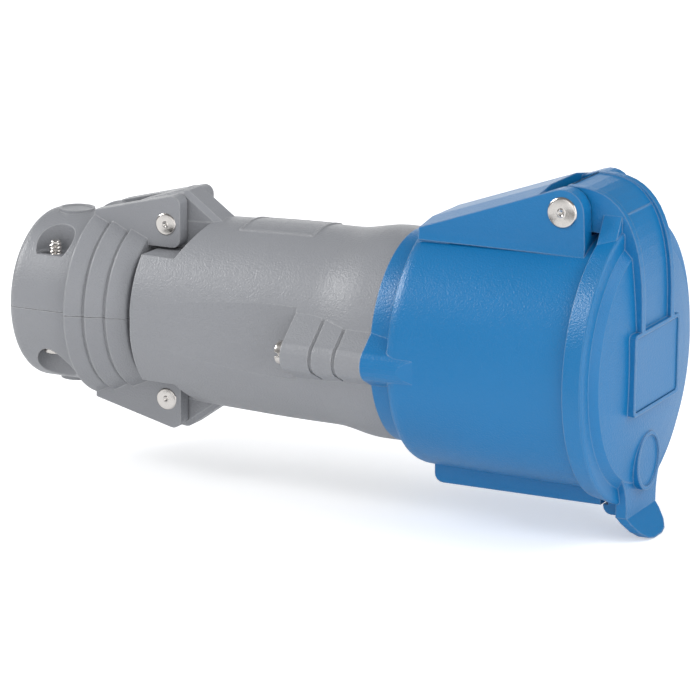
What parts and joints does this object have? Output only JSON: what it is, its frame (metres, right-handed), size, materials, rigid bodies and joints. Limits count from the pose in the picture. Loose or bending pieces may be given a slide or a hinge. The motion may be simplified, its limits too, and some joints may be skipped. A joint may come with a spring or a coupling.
{
  "type": "trailing socket",
  "caption": "Round trailing socket for an industrial plug: tapered grey handle, hinged two-jaw cable clamp, blue front housing and sprung hinged lid with a label frame and finger tab.",
  "frame": {"origin": "centre of the cable entry, on the socket's axis in the plane of the tail's rear face", "axes": "+X along the socket's axis from the cable end to the lid, +Z from the axis to the lid's hinge, +Y completes a right-handed frame across the socket"},
  "size_m": [0.1804, 0.074, 0.0913],
  "materials": {
    "grey_plastic": "light grey moulded plastic, fine satin texture",
    "blue_plastic": "signal blue moulded plastic, semi-gloss",
    "dark_plastic": "dark grey insulating plastic, matte",
    "nickel_steel": "nickel-plated steel, bright",
    "brass": "machined brass, bright",
    "black_rubber": "soft black rubber, matte"
  },
  "bodies": {
    "connector": {"handle": "grey_plastic", "front_housing": "blue_plastic", "housing_seal": "black_rubber", "housing_screws": "nickel_steel", "contact_carrier": "dark_plastic", "phase_contact": "brass", "neutral_contact": "brass", "earth_contact": "brass", "contact_rings": "nickel_steel", "terminal_screws": "nickel_steel", "cable_seal": "black_rubber", "gland_washer": "dark_plastic", "lid_pin": "nickel_steel", "upper_jaw_pin": "nickel_steel", "lower_jaw_pin": "nickel_steel"},
    "lid": {"lid": "blue_plastic", "lid_gasket": "black_rubber", "label_plate": "blue_plastic", "lid_spring": "nickel_steel"},
    "upper_jaw": {"upper_jaw": "grey_plastic"},
    "lower_jaw": {"lower_jaw": "grey_plastic", "clamp_screws": "nickel_steel"}
  },
  "joints": [
    {"name": "lid_hinge", "type": "hinge", "parent": "connector", "child": "lid", "pos_m": [0.1586, 0, 0.04], "axis": [0, -1, 0], "range_deg": [0, 95], "stiffness_Nm_per_rad": 0.04, "springref_deg": -68.75},
    {"name": "lower_jaw_hinge", "type": "hinge", "parent": "connector", "child": "lower_jaw", "pos_m": [0.0416, 0, -0.024], "axis": [0, -1, 0], "range_deg": [0, 4]},
    {"name": "upper_jaw_hinge", "type": "hinge", "parent": "connector", "child": "upper_jaw", "pos_m": [0.0416, 0, 0.024], "axis": [0, 1, 0], "range_deg": [0, 4]}
  ],
  "couplings": [
    {"joint": "upper_jaw_hinge", "follows": "lower_jaw_hinge", "ratio": 1}
  ]
}
